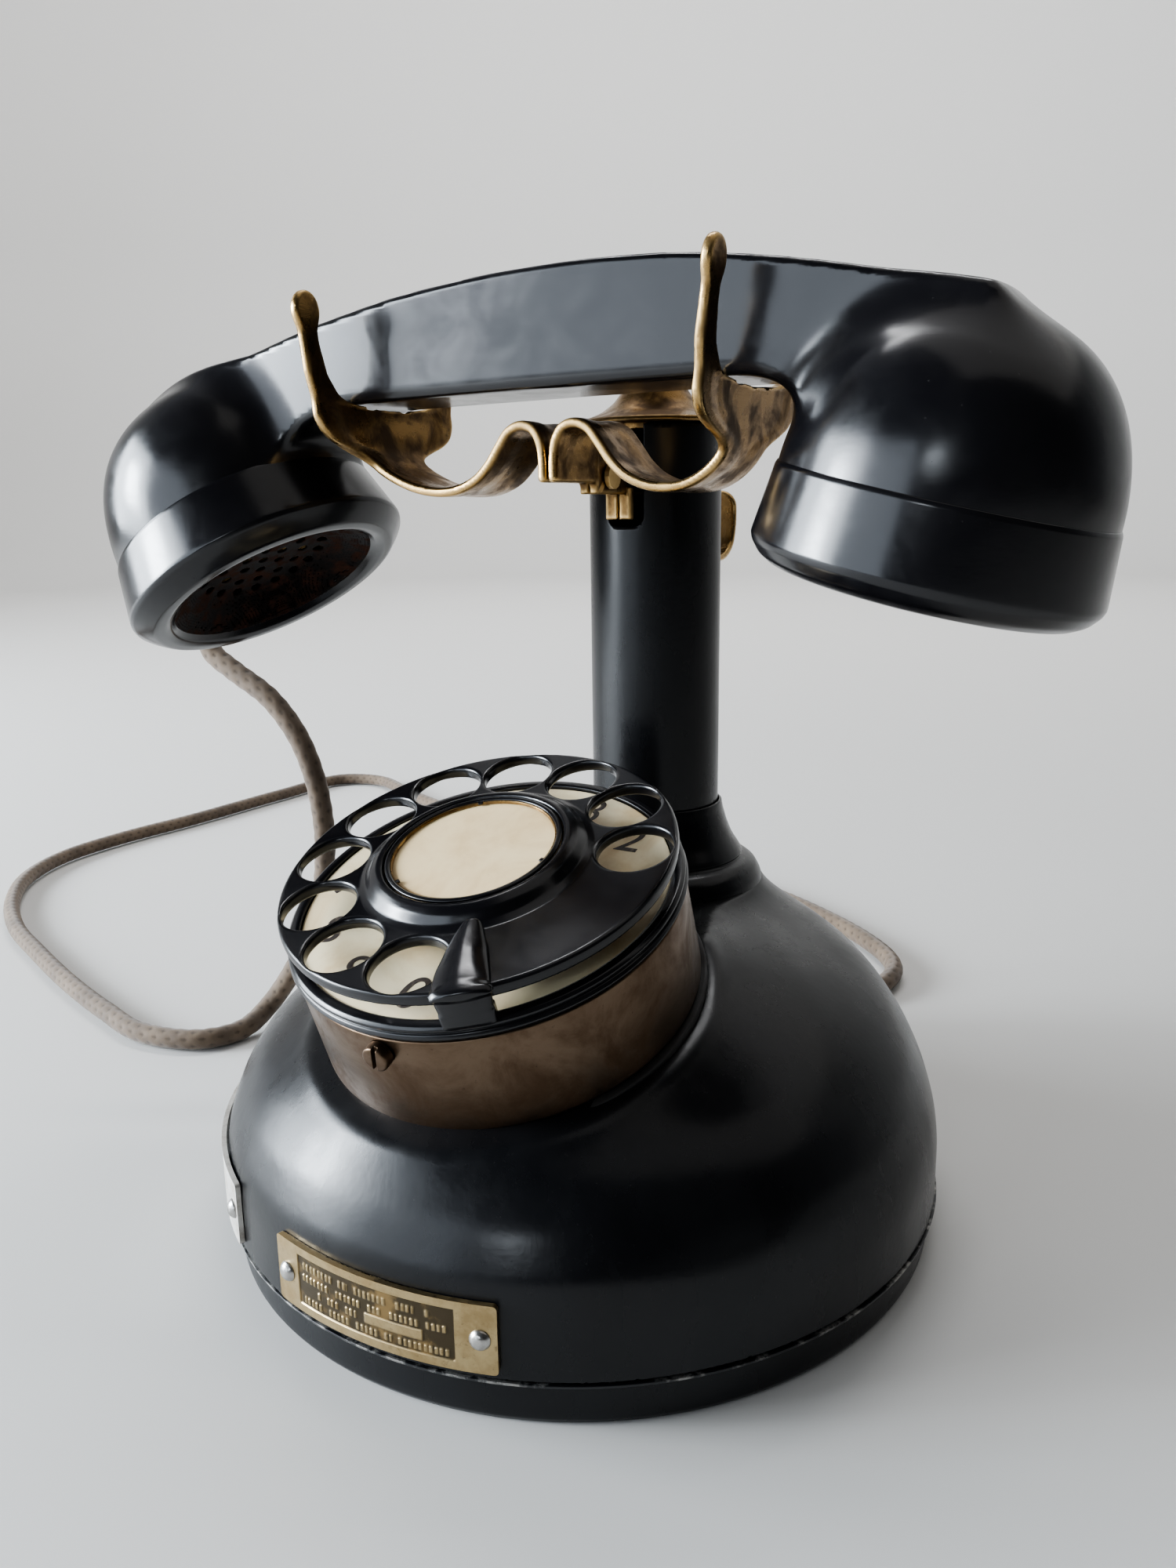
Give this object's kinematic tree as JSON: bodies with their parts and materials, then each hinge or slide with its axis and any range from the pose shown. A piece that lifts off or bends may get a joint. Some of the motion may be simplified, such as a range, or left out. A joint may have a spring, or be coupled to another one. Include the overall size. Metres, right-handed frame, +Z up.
{
  "type": "cradle telephone",
  "caption": "Vintage desk telephone: bell base, tilted rotary dial, column with a forked brass cradle, and a black handset on a braided cord.",
  "frame": {"origin": "centre of the underside, on the surface the telephone stands on", "axes": "+Z up, -Y the way the dial faces, +X along the handset towards the earpiece"},
  "size_m": [0.4476, 0.3747, 0.1984],
  "materials": {
    "black_enamel": "satin black enamel",
    "black_ebonite": "semi-gloss black ebonite",
    "aged_brass": "worn, darkened brass",
    "worn_nickel": "worn, browned nickel plate",
    "plain_steel": "satin steel",
    "cream_enamel": "aged cream enamel and card",
    "brown_fibre": "matte brown fibre",
    "wound_copper": "varnished copper winding",
    "black_rubber": "matte black rubber",
    "braided_cord": "grey-brown cotton braid"
  },
  "bodies": {
    "base": {"dial_can": "worn_nickel", "dial_can_screw": "worn_nickel", "dial_gasket": "black_rubber", "bezel_ring": "black_ebonite", "number_plate": "cream_enamel", "finger_stop": "black_ebonite", "dial_frame": "aged_brass", "governor_cup": "aged_brass", "pulse_block": "brown_fibre", "pulse_contact": "worn_nickel", "return_spring": "plain_steel", "column_tube": "black_enamel", "neck_collar": "black_enamel", "column_nut": "plain_steel", "column_cap": "aged_brass", "rear_hook": "aged_brass", "rear_hook_screw": "plain_steel", "pivot_bracket": "plain_steel", "pivot_pin": "plain_steel", "contact_block": "brown_fibre", "contact_spring_1": "worn_nickel", "contact_spring_2": "worn_nickel", "base_shell": "black_enamel", "foot_ring": "black_enamel", "bottom_plate": "black_enamel", "bottom_screw_1": "plain_steel", "bottom_screw_2": "plain_steel", "bottom_screw_3": "plain_steel", "nameplate": "aged_brass", "nameplate_rivet_1": "worn_nickel", "nameplate_rivet_2": "worn_nickel", "side_plate": "worn_nickel", "side_plate_rivet_1": "worn_nickel", "side_plate_rivet_2": "worn_nickel", "induction_coil": "wound_copper", "coil_core": "plain_steel", "terminal_block": "brown_fibre", "terminal_screw_1": "aged_brass", "terminal_screw_2": "aged_brass", "cord_gland": "black_rubber", "handset_cord": "braided_cord"},
    "dial_wheel": {"finger_wheel": "black_ebonite", "centre_card": "cream_enamel", "card_ring": "black_ebonite", "dial_shaft": "plain_steel", "main_gear": "aged_brass"},
    "governor": {"governor_pinion": "plain_steel", "governor_weights": "aged_brass"},
    "cradle": {"cradle_left": "aged_brass", "cradle_right": "aged_brass", "cradle_rivet": "aged_brass", "switch_arm": "plain_steel"},
    "handset": {"handset_body": "black_ebonite", "earpiece_cap": "black_ebonite", "mouthpiece_cap": "black_ebonite", "receiver_capsule": "worn_nickel", "transmitter_capsule": "aged_brass", "receiver_diaphragm": "plain_steel", "transmitter_grille": "brown_fibre", "handset_cord_bush": "black_rubber"}
  },
  "joints": [
    {"name": "handset_lift", "type": "slide", "parent": "base", "child": "handset", "axis": [0, 0, 1], "range_m": [0, 0.08]},
    {"name": "cradle_rise", "type": "hinge", "parent": "base", "child": "cradle", "pos_m": [0, 0.0365, 0.16], "axis": [-1, 0, 0], "range_deg": [0, 4]},
    {"name": "dial_turn", "type": "hinge", "parent": "base", "child": "dial_wheel", "pos_m": [0, -0.0383, 0.0887], "axis": [0, 0.342, -0.9397], "range_deg": [0, 325], "stiffness_Nm_per_rad": 0.003, "springref_deg": -28.65},
    {"name": "governor_turn", "type": "hinge", "parent": "base", "child": "governor", "pos_m": [0.024, -0.0383, 0.0887], "axis": [0, 0.342, -0.9397], "range_deg": [-1301, 0]}
  ],
  "couplings": [
    {"joint": "cradle_rise", "follows": "handset_lift", "rad_per_m": 0.87},
    {"joint": "governor_turn", "follows": "dial_turn", "ratio": -4}
  ]
}
